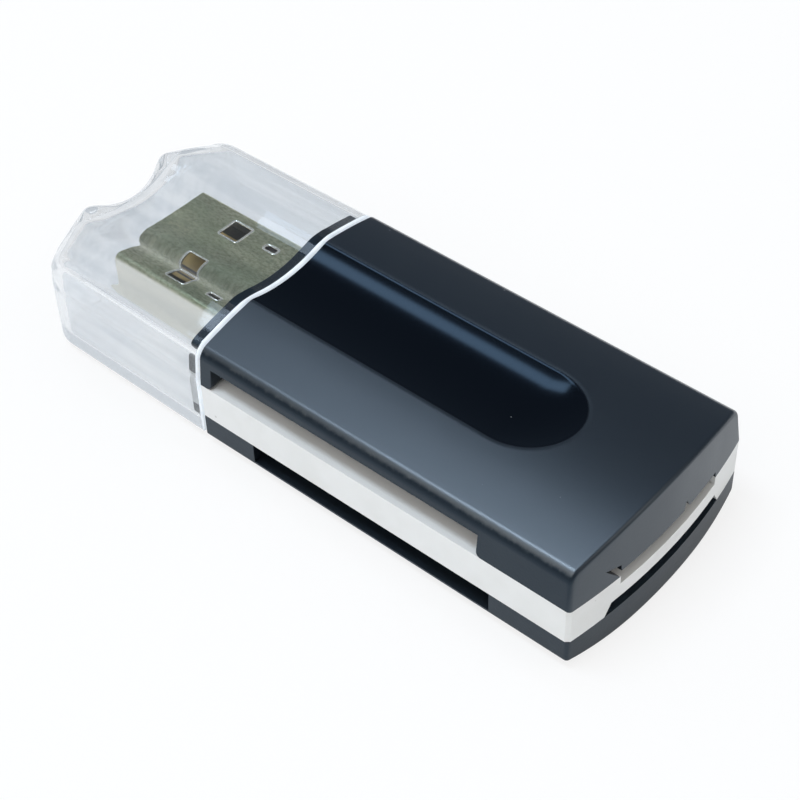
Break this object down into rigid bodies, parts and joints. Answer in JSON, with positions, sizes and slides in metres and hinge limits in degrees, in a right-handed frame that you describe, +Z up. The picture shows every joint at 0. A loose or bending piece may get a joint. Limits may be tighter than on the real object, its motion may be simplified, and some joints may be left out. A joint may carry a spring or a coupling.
{
  "type": "usb memory card reader",
  "caption": "Pocket card reader: black two-part shell round a white frame with card mouths at one side and the rear, and a clear pull-off cap over its flat metal plug.",
  "frame": {"origin": "middle of the closed reader's box, at the height it rests on", "axes": "+X from the cap towards the rear mouths, +Z up through the roof, -Y out of the side mouths"},
  "size_m": [0.0618, 0.0236, 0.0122],
  "materials": {
    "black_shell": "matte black moulding with a polished trough along the roof",
    "white_frame": "white moulding, low gloss",
    "clear_cap": "clear polished plastic",
    "plug_shell": "plated steel sheet",
    "plug_insulator": "moulded plastic tongue",
    "contact_gold": "gold flash over copper alloy",
    "carrier": "moulded contact carrier",
    "board": "green lacquered glass-fibre board",
    "chip": "moulded chip body with tinned leads",
    "crystal_can": "plated can",
    "capacitor": "ceramic block",
    "resistor": "ceramic block"
  },
  "bodies": {
    "reader": {"bottom_cover": "black_shell", "capacitor_1": "capacitor", "capacitor_2": "capacitor", "circuit_board": "board", "crystal": "crystal_can", "middle_frame": "white_frame", "reader_chip": "chip", "resistor_1": "resistor", "resistor_2": "resistor", "small_low_carrier": "carrier", "small_low_spring_1": "contact_gold", "small_low_spring_2": "contact_gold", "small_low_spring_3": "contact_gold", "small_low_spring_4": "contact_gold", "small_low_spring_5": "contact_gold", "small_low_spring_6": "contact_gold", "small_low_spring_7": "contact_gold", "small_low_spring_8": "contact_gold", "small_up_carrier": "carrier", "small_up_spring_1": "contact_gold", "small_up_spring_10": "contact_gold", "small_up_spring_11": "contact_gold", "small_up_spring_2": "contact_gold", "small_up_spring_3": "contact_gold", "small_up_spring_4": "contact_gold", "small_up_spring_5": "contact_gold", "small_up_spring_6": "contact_gold", "small_up_spring_7": "contact_gold", "small_up_spring_8": "contact_gold", "small_up_spring_9": "contact_gold", "top_cover": "black_shell", "usb_contact_1": "contact_gold", "usb_contact_2": "contact_gold", "usb_contact_3": "contact_gold", "usb_contact_4": "contact_gold", "usb_insulator": "plug_insulator", "usb_shell": "plug_shell", "wide_low_carrier": "carrier", "wide_low_spring_1": "contact_gold", "wide_low_spring_2": "contact_gold", "wide_low_spring_3": "contact_gold", "wide_low_spring_4": "contact_gold", "wide_low_spring_5": "contact_gold", "wide_low_spring_6": "contact_gold", "wide_low_spring_7": "contact_gold", "wide_low_spring_8": "contact_gold", "wide_low_spring_9": "contact_gold", "wide_up_carrier": "carrier", "wide_up_spring_1": "contact_gold", "wide_up_spring_10": "contact_gold", "wide_up_spring_2": "contact_gold", "wide_up_spring_3": "contact_gold", "wide_up_spring_4": "contact_gold", "wide_up_spring_5": "contact_gold", "wide_up_spring_6": "contact_gold", "wide_up_spring_7": "contact_gold", "wide_up_spring_8": "contact_gold", "wide_up_spring_9": "contact_gold"},
    "cap": {"clear_cap": "clear_cap"}
  },
  "joints": [
    {"name": "cap_pull", "type": "slide", "parent": "reader", "child": "cap", "axis": [-1, 0, 0], "range_m": [0, 0.025]}
  ]
}
